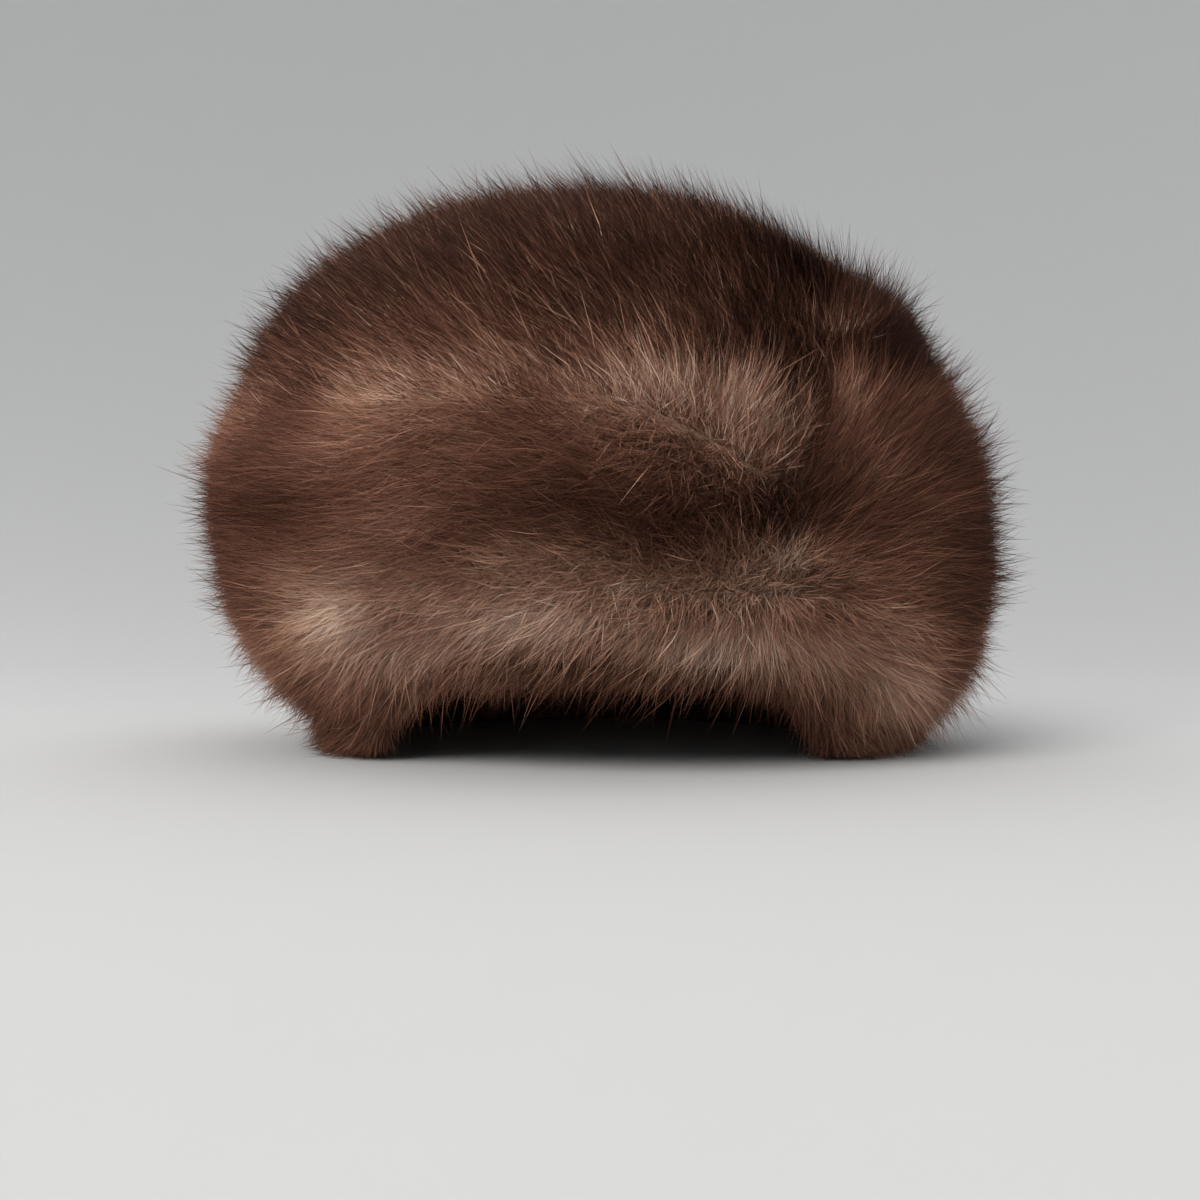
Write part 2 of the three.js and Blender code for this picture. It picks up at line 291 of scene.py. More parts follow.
# Pale and dark patches that the photo shows, as pixels, each a soft oval tilted
# anticlockwise by degrees. A lift of 1 is the whole way from the darkest to the palest.
# The ovals overlap, so a patch only adds to what lies under it. A few of them are painted
# shade and a few painted light, as noted by each.
Patch = namedtuple("Patch", "name across down wide high tilt lift")
SEEN_TONES = rows(Patch, (
    ("pale band, left", 380, 385, 60, 24, 8, 0.12),
    ("pale band, middle", 460, 372, 50, 20, -4, 0.06),
    ("pale band, right", 685, 383, 66, 28, -10, 0.38),
    ("pale band, by the join", 765, 412, 34, 34, 0, 0.46),
    ("dark gap in the pale band", 566, 322, 40, 22, -20, -0.08),
    ("brown streak on the crown", 512, 238, 34, 34, 0, 0.06),
    ("brown over the middle", 640, 300, 110, 32, -12, 0.15),
    ("dark top", 800, 272, 120, 50, -25, -0.05),
    ("dark far left shoulder", 290, 330, 50, 40, 50, -0.08),
    # Painted shade in a groove
    ("dark groove", 831, 385, 10, 60, 0, -0.16),
    ("pale side patch", 858, 397, 26, 38, 0, 0.33),
    ("dark right crown edge", 880, 300, 70, 44, -35, -0.24),
    # Painted shade in the notch of the outline
    ("dark notch", 918, 335, 36, 40, 0, -0.40),
    ("dark stripe", 670, 503, 130, 26, -5, -0.12),
    # Painted shade in a dip
    ("dark dip", 803, 497, 40, 30, 0, -0.18),
    # Painted shade in a crease
    ("crease", 775, 543, 24, 3.5, 24, -0.30),
    ("brown left middle", 400, 520, 70, 24, 0, 0.20),
    ("dark stripe, far left", 262, 505, 56, 50, 0, -0.13),
    ("palest tuft", 335, 622, 44, 26, 0, 0.30),
    ("pale low band", 528, 630, 66, 22, 0, 0.31),
    ("reddish low band", 640, 635, 40, 22, 0, 0.06),
    ("pale low band, right", 735, 650, 60, 24, 0, 0.33),
    ("small pale tuft", 800, 562, 26, 16, 0, 0.48),
    ("dark left of the crease", 684, 554, 44, 24, -20, -0.07),
    ("brown right middle", 880, 582, 90, 18, 0, 0.08),
    ("tan foot", 905, 684, 40, 22, 12, 0.17),
    # Painted light: paler against the floor's contact shadow under the right foot
    ("brown under the foot", 880, 735, 60, 22, 30, 0.05),
    # Partly the fur's darker edge, partly painted shade on the right side, away from the key lamp
    ("dark right edge", 985, 560, 34, 130, 0, -0.14),
    # Partly the fur's darker edge, partly painted shade on the right side, away from the key lamp
    ("dark right shoulder", 955, 420, 30, 60, -20, -0.10),
    ("dark crown front", 540, 225, 300, 130, 0, -0.13),
    ("brown over the left band", 490, 302, 60, 34, 16, 0.08),
    ("dark under the left band", 528, 402, 40, 22, 8, -0.13),
    ("pale streak, left", 335, 462, 46, 18, 14, 0.06),
    ("pale low left", 298, 566, 46, 26, 10, 0.14),
    ("pale under the stripe", 565, 562, 50, 20, 0, 0.08),
    ("tan right middle", 886, 472, 34, 26, 30, 0.10),
    ("tan by the right edge", 945, 515, 26, 34, 0, 0.06),
    # Partly the fur's darker edge, partly painted shade on the right side, away from the key lamp
    ("dark right foot edge", 965, 655, 30, 40, 0, -0.24),
    ("dark before the left band", 306, 396, 42, 28, 30, -0.28),
    ("pale under the left band", 375, 424, 62, 22, 6, 0.09),
    ("brown right end of the dark stripe", 830, 488, 100, 14, 0, 0.07),
    ("brown over the stripe", 455, 465, 90, 28, 0, 0.08),
    ("dark stripe, right of the dip", 868, 508, 54, 15, -14, -0.03),
    # Painted shade: dark like the shaded hollow under the hat, at its left foot
    ("dark left foot", 300, 700, 60, 34, -30, -0.18),
    ("brown right crown", 762, 298, 56, 44, -25, 0.19),
    ("brown over the left band, far left", 396, 326, 60, 34, 30, 0.09),
    ("dark top of the right side", 885, 370, 40, 26, 0, -0.12),
    ("brown over the dark stripe", 636, 432, 34, 20, 0, 0.08),
    ("brown left end of the dark stripe", 466, 504, 60, 22, 0, 0.17),
    ("dark low left edge", 258, 622, 30, 46, -20, -0.16),
    ("tan over the palest tuft", 370, 566, 44, 26, 0, 0.08),
    ("tan over the pale low band", 515, 568, 46, 24, 0, 0.17),
    ("tan left of the crease", 754, 572, 50, 24, 0, 0.15),
    ("brown under the small tuft", 826, 610, 46, 18, 0, -0.20),
    ("tan gap in the pale band", 528, 340, 34, 28, 0, 0.13),
    # Partly the fur's pale edge, partly painted light against the shade of the hollow under the front edge
    ("tan at the front edge", 430, 668, 60, 16, 0, 0.15),
    ("brown left edge", 228, 536, 24, 32, 0, 0.10),
    ("brown top of the crown", 690, 214, 64, 22, -8, 0.09),
    ("dark by the groove", 748, 368, 26, 16, 0, -0.09),
))
# Painted light: how much paler each pelt is painted round the sides and the back, where it isn't seen and
# the key lamp doesn't reach
TURNED_AWAY_PAINTED_LIGHT = {CROWN: 0.12, LEFT: 0.08, RIGHT: 0.08, RIM: 0.04}
# Patches fade out where the skin turns from the camera, between these two slants
PATCH_FADES = (-0.12, 0.18)

# Where the photo shows longer or shorter fur: soft ovals again, and the share it gains. They
# end where the skin turns further from the camera than a slant.
Tuft = namedtuple("Tuft", "name across down wide high longer")
SEEN_TUFTS = rows(Tuft, (
    ("dark tuft over the notch", 900, 312, 30, 22, 0.22),
    ("left edge", 215, 560, 30, 40, -0.15),
))
TUFT_SLANT = -0.25

# Each pelt is dark along its middle and pale at its edges: shares of the way down from its
# upper edge to its lower one, and the tone at each
TONE_ROWS = {
    CROWN: {
        "down": (0.0, 0.40, 0.65, 0.80, 0.88, 0.93, 1.0),
        "tone": (0.21, 0.19, 0.16, 0.125, 0.18, 0.335, 0.53),
    },
    LEFT: {
        "down": (0.0, 0.15, 0.35, 0.55, 0.72, 0.88, 1.0),
        "tone": (0.53, 0.47, 0.405, 0.335, 0.385, 0.545, 0.65),
    },
    RIGHT: {
        "down": (0.0, 0.12, 0.25, 0.55, 0.72, 0.88, 1.0),
        "tone": (0.16, 0.27, 0.41, 0.345, 0.315, 0.41, 0.51),
    },
    RIM: {
        "down": (0.0, 0.15, 0.30, 0.50, 0.75, 1.0),
        "tone": (0.67, 0.67, 0.62, 0.52, 0.41, 0.37),
    },
}
# Mottling over that: the widths of its swells, and how far they go either way
WIDE_MOTTLE_SIZE, WIDE_MOTTLE = 0.022, 0.060
FINE_MOTTLE_SIZE, FINE_MOTTLE = 0.009, 0.045

# Numbers that keep the random fields apart, and the seed of each fur piece's hairs
SALTS = {"lock": 100, "lock_traits": 110, "swirl": 120, "broad": 121, "wave": 122, "wide": 11, "fine": 12}
SEEDS = {"crown": 101, "left": 201, "right": 301, "rim": 401}

# The floor is flat this far out, then sweeps up with this radius to its upper edge
FLOOR_FLAT = 0.45
FLOOR_BEND = 4.2
FLOOR_TOP = 5.4
FLOOR_AROUND = 96

# Two soft round lamps stand before the hat and face a point in it. Sizes are in metres and
# powers in watts. The air round them is nearly white.
LAMP_AIM = (0, 0, 0.09)
Lamp = namedtuple("Lamp", "name place size power colour")
LAMPS = rows(Lamp, (
    ("key_light", (-1.05, -1.65, 1.35), 1.3, 58, (1.0, 0.975, 0.94)),
    ("fill_light", (1.2, -1.4, 1.1), 1.0, 4, (1.0, 0.99, 0.97)),
))
AIR_COLOUR = (0.91, 0.91, 0.91, 1)
AIR_STRENGTH = 1.50

# Whole numbers that scatter a cell's three counts into one evenly random number
SCATTER = (374761393, 668265263, 1274126177)
WORD = 0xFFFFFFFF


def cell_random(cells, salt):
    """Numbers from 0 to 1, one for each whole-number cell, alike on every run."""
    number = (cells * SCATTER).sum(-1) + salt * SCATTER[1]
    number = ((number ^ (number >> 13)) & WORD) * SCATTER[0] & WORD
    number = ((number ^ (number >> 16)) & WORD) * SCATTER[1] & WORD
    return (number ^ (number >> 15)) / WORD


def soft_noise(points, size, salt):
    """Smooth random numbers from -1 to 1, with swells about as wide as size."""
    scaled = points / size
    cells = np.floor(scaled).astype(np.int64)
    part = scaled - cells
    part = part * part * (3 - 2 * part)
    total = 0
    for corner in itertools.product((0, 1), repeat=3):
        share = np.where(corner, part, 1 - part).prod(-1)
        total = total + share * cell_random(cells + corner, salt)
    return 2 * total - 1


def nearest_lock(points, size, salt):
    """The middle of the lock of hair that each point grows in, and the lock's own cell."""
    home = np.floor(points / size).astype(np.int64)
    nearest = np.full(len(points), np.inf)
    middles = np.zeros_like(points)
    cells = np.zeros_like(home)
    for step in itertools.product((-1, 0, 1), repeat=3):
        cell = home + step
        shift = np.stack([cell_random(cell, salt + axis) for axis in range(3)], -1)
        middle = (cell + shift) * size
        gap = ((middle - points) ** 2).sum(-1)
        closer = gap < nearest
        nearest = np.where(closer, gap, nearest)
        middles[closer] = middle[closer]
        cells[closer] = cell[closer]
    return middles, cells


def unit(vectors):
    return vectors / np.maximum(np.linalg.norm(vectors, axis=-1, keepdims=True), 1e-12)


def dot(a, b):
    return (a * b).sum(-1, keepdims=True)


def flattened(vectors, normals):
    """Vectors laid into the surface that the normals stand on."""
    return vectors - normals * dot(vectors, normals)


def smoothstep(values, low, high):
    part = np.clip((values - low) / (high - low), 0, 1)
    return part * part * (3 - 2 * part)


def way(turn, fall):
    """Unit vectors at an angle round from the front and an angle down from the top."""
    level = np.sin(fall)
    return np.stack([level * np.sin(turn), -level * np.cos(turn), np.cos(fall)], -1)


def search_tree(names):
    """A search tree over CAD nodes, and the node that each of its faces belongs to."""
    points = []
    faces = []
    owners = []
    for name in names:
        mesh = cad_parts[name].data
        first = len(points)
        points.extend(vertex.co[:] for vertex in mesh.vertices)
        faces.extend([first + i for i in face.vertices] for face in mesh.polygons)
        owners.extend([PELTS.index(name)] * len(mesh.polygons))
    return BVHTree.FromPolygons(points, faces), owners


def cast(tree, starts, aims):
    """How far each ray goes before it meets the tree, and the face that it meets."""
    far = np.full(len(starts), np.nan)
    met = np.full(len(starts), -1)
    for i, (start, aim) in enumerate(zip(starts.tolist(), aims.tolist())):
        place, _, face, distance = tree.ray_cast(start, aim)
        if place is not None:
            far[i] = distance
            met[i] = face
    return far, met


def blurred(values, sigma):
    """Smooths along the last axis, with its end values carried on."""
    reach = int(3 * sigma) + 1
    weights = np.exp(-0.5 * (np.arange(-reach, reach + 1) / sigma) ** 2)
    weights /= weights.sum()
    padding = [(0, 0)] * (values.ndim - 1) + [(reach, reach)]
    padded = np.pad(values, padding, mode="edge")
    size = values.shape[-1]
    return sum(w * padded[..., i:i + size] for i, w in enumerate(weights))


def blurred_round(values, sigma):
    """Smooths along the first axis, which goes once round. Sigma may differ by column."""
    waves = np.fft.rfft(values, axis=0)
    pitch = math.tau * np.fft.rfftfreq(values.shape[0])
    keep = np.exp(-0.5 * (pitch[:, None] * np.broadcast_to(sigma, values.shape[1:2])) ** 2)
    keep = keep.reshape(keep.shape + (1,) * (values.ndim - 2))
    return np.fft.irfft(waves * keep, n=values.shape[0], axis=0)


def mended(values):
    """Fills what a ray missed, through a gap between two pelts, from beside it."""
    beside = [np.roll(values, step, axis) for axis in (0, 1) for step in (-3, -2, 2, 3)]
    middle = np.nanmedian(np.stack([values, *beside]), 0)
    stray = ~(np.abs(values - middle) < STRAY_READING)
    return np.where(stray, middle, values)


def between(table, i, j):
    """A grid's values between its rows, which go once round, and between its columns."""
    low_i = np.floor(i).astype(int) % TURNS
    low_j = np.floor(j).astype(int)
    high_i = (low_i + 1) % TURNS
    part_i = i - np.floor(i)
    part_j = j - low_j
    if table.ndim > 2:
        part_i = part_i[..., None]
        part_j = part_j[..., None]
    near = table[low_i, low_j] * (1 - part_i) + table[high_i, low_j] * part_i
    far = table[low_i, low_j + 1] * (1 - part_i) + table[high_i, low_j + 1] * part_i
    return near * (1 - part_j) + far * part_j


class Form:
    """The hat's outer and inner face, smoothed, and where each pelt begins and ends."""

    def __init__(self):
        self.tree, self.owners = search_tree(PELTS)
        self.turns = np.arange(TURNS) * TURN_STEP
        self.falls = (np.arange(FALLS) + 0.5) * FALL_STEP
        turn, fall = np.meshgrid(self.turns, self.falls, indexing="ij")
        aims = way(turn, fall).reshape(-1, 3)
        grid = (TURNS, FALLS)

        inward, faces = cast(self.tree, HEART + FAR_OUT * aims, -aims)
        owners = np.append(self.owners, -1)[faces].reshape(grid)
        self.outer = self.smooth(mended(FAR_OUT - inward.reshape(grid)))
        outward, _ = cast(self.tree, np.tile(HEART, (len(aims), 1)), aims)
        self.inner = self.smooth(mended(outward.reshape(grid)))

        self.outer_normals = self.face_normals(self.outer)
        self.find_seams(owners)
        self.roll, self.roll_top = self.read_roll()
        self.roll_normals = self.read_roll_normals()
        self.blend_low_seam()

    def smooth(self, reach):
        """Takes the flat facets out of a face, but keeps its dents."""
        across_top = np.concatenate([np.roll(reach, TURNS // 2, 0)[:, ::-1], reach], 1)
        step = FALL_STEP * reach.mean()
        soft = blurred(across_top, SMOOTHING / step)[:, FALLS:]
        ring = np.sin(self.falls) * soft.mean(0) * TURN_STEP
        return blurred_round(soft, SMOOTHING / ring)

    def grid_points(self, reach):
        turn, fall = np.meshgrid(self.turns, self.falls, indexing="ij")
        return HEART + reach[..., None] * way(turn, fall)

    def face_normals(self, reach):
        points = self.grid_points(reach)
        beyond = np.roll(points, TURNS // 2, 0)[:, :1]
        down = np.gradient(np.concatenate([beyond, points], 1), axis=1)[:, 1:]
        along = np.roll(points, -1, 0) - np.roll(points, 1, 0)
        return unit(np.cross(down, along))

    def find_seams(self, owners):
        """The seams as angles: down from the top at each turn, and round at each fall."""
        crown = (owners == PELTS.index(CROWN)).sum(1) * FALL_STEP
        low = (owners != PELTS.index(RIM)).sum(1) * FALL_STEP
        self.high_seam = blurred_round(crown[:, None], np.array([HIGH_SEAM_BLUR]))[:, 0]
        self.low_seam = blurred_round(low[:, None], np.array([LOW_SEAM_BLUR]))[:, 0]
        highest = self.high_seam.max() + FALL_STEP
        lowest = self.low_seam.min() - FALL_STEP
        side = (self.falls > highest) & (self.falls < lowest)
        right = owners[:, side] == PELTS.index(RIGHT)
        starts = right.argmax(0) * TURN_STEP
        ends = starts + right.sum(0) * TURN_STEP
        self.front_join = np.polyfit(self.falls[side], starts, 1)
        self.back_join = np.polyfit(self.falls[side], ends, 1)

    def look_up(self, table, turn, fall):
        """A grid's values at directions between its own."""
        i = np.mod(turn / TURN_STEP, TURNS)
        j = np.clip(fall / FALL_STEP - 0.5, 0, FALLS - 1.001)
        return between(table, i, j)

    def seam_fall(self, seam, turn):
        turns = np.append(self.turns, math.tau)
        return np.interp(np.mod(turn, math.tau), turns, np.append(seam, seam[0]))

    def outside(self, turn, fall):
        """Points on the outer face and their normals."""
        points = HEART + self.look_up(self.outer, turn, fall)[..., None] * way(turn, fall)
        return points, unit(self.look_up(self.outer_normals, turn, fall))

    def inside(self, turn, fall):
        return HEART + self.look_up(self.inner, turn, fall)[..., None] * way(turn, fall)

    def pelt_at(self, turn, fall):
        """The pelt at a direction, as its place in PELTS, and the share of the way down it."""
        high = self.seam_fall(self.high_seam, turn)
        low = self.seam_fall(self.low_seam, turn)
        front = np.polyval(self.front_join, fall)
        width = np.polyval(self.back_join, fall) - front
        on_right = np.mod(turn - front, math.tau) < width
        pelt = np.where(on_right, PELTS.index(RIGHT), PELTS.index(LEFT))
        pelt = np.where(fall < high, PELTS.index(CROWN), pelt)
        pelt = np.where(fall > low, PELTS.index(RIM), pelt)
        down = np.where(fall < high, fall / high, (fall - high) / (low - high))
        return pelt, down

    def read_roll(self):
        """The rim's section at each turn, from the low seam round underneath to its inner edge.

        The strip is the furred face, and the top is the bare one over it, back to the seam.
        """
        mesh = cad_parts[RIM].data
        points = np.array([vertex.co[:] for vertex in mesh.vertices])
        reach = np.hypot(points[:, 0], points[:, 1])
        turn = np.arctan2(points[:, 0], -points[:, 1])
        sections = []
        for at in self.turns:
            near = np.abs(np.mod(turn - at + math.pi, math.tau) - math.pi) < ROLL_SECTOR
            out, up = reach[near], points[near, 2]
            middle = np.array(((out.min() + out.max()) / 2, (up.min() + up.max()) / 2))
            seam, edge = np.argmax(out + up), np.argmax(up - out)
            at_seam = math.atan2(middle[1] - up[seam], out[seam] - middle[0])
            at_edge = math.atan2(middle[1] - up[edge], out[edge] - middle[0]) % math.tau
            sections.append((*middle, at_seam, at_edge))
        self.sections = blurred_round(np.array(sections), np.array([SECTION_BLUR]))
        seam, edge = self.sections[:, 2:3], self.sections[:, 3:4]
        share = np.linspace(0, 1, ROLL_STEPS)
        strip = self.read_ring(seam + share * (edge - seam))
        top = self.read_ring(edge + ROLL_TOP_SHARES * (seam + math.tau - edge))
        return strip, top

    def read_ring(self, angle):
        """Points on the rim in each turn's own section, at angles down from straight outward."""
        tree, _ = search_tree([RIM])
        outward = np.stack([np.sin(self.turns), -np.cos(self.turns), 0 * self.turns], -1)[:, None]
        upward = np.array((0.0, 0.0, 1.0))
        aims = outward * np.cos(angle)[..., None] - upward * np.sin(angle)[..., None]
        out, up = self.sections[:, :1, None], self.sections[:, 1:2, None]
        centres = np.broadcast_to(outward * out + upward * up, aims.shape)
        starts = centres + ROLL_OUT * aims
        far, _ = cast(tree, starts.reshape(-1, 3), -aims.reshape(-1, 3))
        reach = ROLL_OUT - far.reshape(angle.shape)
        reach = np.where(np.isnan(reach), np.nanmedian(reach), reach)
        reach = blurred(blurred_round(reach, np.array([ROLL_BLUR])), ROLL_BLUR_ACROSS)
        return centres + reach[..., None] * aims

    def read_roll_normals(self):
        along = np.roll(self.roll, -1, 0) - np.roll(self.roll, 1, 0)
        under = np.gradient(self.roll, axis=1)
        return unit(np.cross(under, along))

    def blend_low_seam(self):
        """Turns the faces of the body and the rim to one another where they meet."""
        edge, body = self.outside(self.turns, self.low_seam)
        shared = unit(body + self.roll_normals[:, 0])[:, None]
        body_gap = (self.low_seam[:, None] - self.falls) * self.outer
        steps = np.linalg.norm(np.diff(self.roll, axis=1), axis=-1)
        roll_gap = np.concatenate([np.zeros((TURNS, 1)), np.cumsum(steps, 1)], 1)
        self.roll_gap = roll_gap
        near = np.exp(-(body_gap / LOW_SEAM_BLEND) ** 2)[..., None]
        self.outer_normals = unit(self.outer_normals * (1 - near) + shared * near)
        near = np.exp(-(roll_gap / LOW_SEAM_BLEND) ** 2)[..., None]
        self.roll_normals = unit(self.roll_normals * (1 - near) + shared * near)
        self.roll = self.roll + near * (edge - self.roll[:, 0])[:, None]

    def seam_gap(self, turn, fall):
        """How far places on the body are from the nearest seam."""
        reach = self.look_up(self.outer, turn, fall)
        high = self.seam_fall(self.high_seam, turn)
        beside = self.seam_fall(self.high_seam, turn + TURN_STEP)
        climb = (beside - high) / (TURN_STEP * np.maximum(np.sin(fall), 0.01))
        gap = np.abs(fall - high) * reach / np.hypot(1, climb)
        gap = np.minimum(gap, np.abs(self.seam_fall(self.low_seam, turn) - fall) * reach)
        for join in (self.front_join, self.back_join):
            aside = np.mod(turn - np.polyval(join, fall) + math.pi, math.tau) - math.pi
            gap = np.where(fall > high, np.minimum(gap, np.abs(aside) * reach * np.sin(fall)), gap)
        return gap


@functools.cache
def form():
    return Form()


def pixel_aim(across, down):
    """The way from the camera through a pixel of the frame."""
    right = (across - FRAME_MIDDLE) / FOCAL_PIXELS
    up = (FRAME_MIDDLE - down) / FOCAL_PIXELS
    return unit(CAMERA_RIGHT * right + CAMERA_UP * up + CAMERA_AHEAD)


def to_pixels(points):
    """Where points lie in the frame, across and down."""
    away = points - CAMERA_PLACE
    ahead = away @ CAMERA_AHEAD
    across = FRAME_MIDDLE + FOCAL_PIXELS * (away @ CAMERA_RIGHT) / ahead
    down = FRAME_MIDDLE - FOCAL_PIXELS * (away @ CAMERA_UP) / ahead
    return across, down


def surface_at(start, aim):
    """Where a ray meets the outer face, and the smoothed normal there."""
    place, _, _, _ = form().tree.ray_cast(Vector(start), Vector(aim))
    if place is None:
        raise ValueError(f"a guide's ray misses the hat, from {start} along {aim}")
    point = np.array(place)
    away = point - HEART
    turn = math.atan2(away[0], -away[1])
    fall = math.acos(away[2] / np.linalg.norm(away))
    _, normal = form().outside(np.array([turn]), np.array([fall]))
    return point, normal[0]


def seen_flow(hair, lift):
    """The way along the skin that makes a standing hair look as SEEN_FLOW says."""
    aim = pixel_aim(hair.across, hair.down)
    point, normal = surface_at(CAMERA_PLACE, aim)
    bearing = math.radians(hair.bearing)
    shown = CAMERA_RIGHT * math.cos(bearing) + CAMERA_UP * math.sin(bearing)
    slant = min(float(aim @ normal), LEAST_SLANT)

    def on_skin(vector):
        return flattened(vector - aim * (vector @ normal) / slant, normal)

    in_picture = normal - aim * (aim @ normal)
    a = on_skin(shown) / math.cos(lift)
    b = -on_skin(in_picture) * math.tan(lift)
    square, half, rest = a @ a, a @ b, b @ b - 1
    inner = max(half * half - square * rest, 0)
    return point, unit(a * (math.sqrt(inner) - half) / square + b)


def round_flow(hair):
    """The way along the skin that ROUND_FLOW says."""
    azimuth = math.radians(hair.azimuth)
    bearing = math.radians(hair.bearing)
    outward = np.array((math.sin(azimuth), -math.cos(azimuth), 0))
    rightward = np.array((math.cos(azimuth), math.sin(azimuth), 0))
    start = outward * FAR_OUT + np.array((0, 0, hair.height / 1000))
    point, normal = surface_at(start, -outward)
    right = unit(flattened(rightward, normal))
    up = np.cross(normal, right)
    return point, right * math.cos(bearing) + up * math.sin(bearing)


@functools.cache
def flow_guides(pelt, lift):
    """Places on one pelt, and the ways that the hairs lie there."""
    guides = [seen_flow(hair, lift) for hair in SEEN_FLOW[pelt]]
    guides += [round_flow(hair) for hair in ROUND_FLOW[pelt]]
    places, ways = zip(*guides)
    return np.array(places), np.array(ways)


def flow_at(points, normals, pelt, lift):
    """The way that the hairs lie at points on one pelt, between its guides."""
    places, ways = flow_guides(pelt, lift)
    total = np.zeros_like(points)
    for place, guide in zip(places, ways):
        gap = ((points - place) ** 2).sum(-1, keepdims=True) + GUIDE_REACH ** 2
        total += guide / gap ** GUIDE_FALLOFF
    return unit(flattened(total, normals))


def tone_at(points, normals, pelt, down):
    """How pale the fur is, from 0 to 1: the pelt's own stripe, patches, mottling, and painted
    light round the sides and the back. A few patches are painted shade, a few painted light.
    """
    stripe = TONE_ROWS[pelt]
    tone = np.interp(down, stripe["down"], stripe["tone"])
    across, row_down = to_pixels(points)
    toward = unit(CAMERA_PLACE - points)
    facing = smoothstep(dot(toward, normals)[:, 0], *PATCH_FADES)
    for patch in SEEN_TONES:
        tilt = math.radians(patch.tilt)
        aside = across - patch.across
        above = patch.down - row_down
        long = (aside * math.cos(tilt) + above * math.sin(tilt)) / patch.wide
        short = (above * math.cos(tilt) - aside * math.sin(tilt)) / patch.high
        tone += patch.lift * facing * np.exp(-(long ** 2 + short ** 2))
    # Painted light round the sides and the back, which turn away from the camera and the key lamp
    tone += TURNED_AWAY_PAINTED_LIGHT[pelt] * (1 - facing)
    mottle = WIDE_MOTTLE * soft_noise(points, WIDE_MOTTLE_SIZE, SALTS["wide"])
    mottle += FINE_MOTTLE * soft_noise(points, FINE_MOTTLE_SIZE, SALTS["fine"])
    return tone + mottle


def longer_at(points, normals):
    """How much longer the hairs are at points, as a share of their length."""
    across, row_down = to_pixels(points)
    seen = dot(unit(CAMERA_PLACE - points), normals)[:, 0] > TUFT_SLANT
    longer = np.zeros(len(points))
    for tuft in SEEN_TUFTS:
        aside = (across - tuft.across) / tuft.wide
        above = (row_down - tuft.down) / tuft.high
        longer += tuft.longer * seen * np.exp(-(aside ** 2 + above ** 2))
    return longer[:, None]


def scatter_on(points, weight, count, rng):
    """Random places on a grid's cells, as fractional rows and columns.

    They are even but for the weight, and somewhat closer before than behind.
    """
    right = np.roll(points, -1, 0) - points
    under = np.roll(points, -1, 1) - points
    area = np.linalg.norm(np.cross(right, under), axis=-1) * weight
    area *= 1 - FRONT_MORE * points[..., 1]
    area[:, -1] = 0
    edges = np.cumsum(area.ravel())
    picks = (np.arange(count) + rng.random(count)) * edges[-1] / count
    cell = np.searchsorted(edges, picks)
    i, j = np.divmod(np.minimum(cell, area.size - 1), points.shape[1])
    return i + rng.random(count), j + rng.random(count)


def body_roots(pelt, count, rng, part=None):
    """Places on a pelt of the body to grow hairs from.

    Returns points, normals, shares down the pelt and distances from the nearest seam.
    """
    hat = form()
    points = hat.grid_points(hat.outer)
    turns, falls = hat.turns + TURN_STEP / 2, hat.falls + FALL_STEP / 2
    turn, fall = np.meshgrid(turns, falls, indexing="ij")
    mine = hat.pelt_at(turn, fall)[0] == PELTS.index(pelt)
    if part:
        start, end = math.radians(part["from"]), math.radians(part["to"])
        mine = mine & (np.mod(turn - start, math.tau) < end - start)
    i, j = scatter_on(points, mine, count, rng)
    turn = i * TURN_STEP
    fall = (j + 0.5) * FALL_STEP
    _, down = hat.pelt_at(turn, fall)
    spots, normals = hat.outside(turn, fall)
    return spots, normals, np.clip(down, 0, 1), hat.seam_gap(turn, fall)


def tucked(share):
    """How far a place on the rim is turned under, from its share of the way round the roll."""
    return smoothstep(share, *TUCK_SHARES)


def rim_roots(count, rng):
    """The same on the rim, with fewer hairs on its inner half, where less fur shows."""
    hat = form()
    weight = 1 - TUCK_SPARSER * tucked(np.linspace(0, 1, ROLL_STEPS))
    i, j = scatter_on(hat.roll, weight, count, rng)
    normals = unit(between(hat.roll_normals, i, j))
    return between(hat.roll, i, j), normals, j / (ROLL_STEPS - 1), between(hat.roll_gap, i, j)


def seam_nearness(gap):
    """How near a seam places are, from 1 on it to 0 far off."""
    return np.exp(-(gap / SEAM_FLUFF) ** 2)


def wool_depth(pelt, gap):
    """How deep a pelt's packed wool lies at distances from a seam, where it is shallow."""
    depth = bpy.context.scene.fur_sizes.mat_depth * (CROWN_DEEPER if pelt == CROWN else 1)
    return depth * (1 - SEAM_FILL * seam_nearness(gap))


def brow_depth(points, share):
    """How much deeper the wool lies along the rim's raised front edge, where fur is short."""
    raised = BROW_DEEPER * (1 - pressed(points))
    return raised * np.exp(-((share - BROW_MIDDLE) / BROW_WIDTH) ** 2)


def pressed(points):
    """How far the floor presses the fur flat at places on the hat, from 0 to 1."""
    return 1 - smoothstep(points[..., 2], *PRESS_HEIGHTS)


def in_metres(name, description, default):
    return FloatProperty(name=name, description=description, default=default, unit="LENGTH")


def in_degrees(name, description, degrees):
    default = math.radians(degrees)
    return FloatProperty(name=name, description=description, default=default, subtype="ANGLE")


def counted(name, description, default):
    return IntProperty(name=name, description=description, default=default)


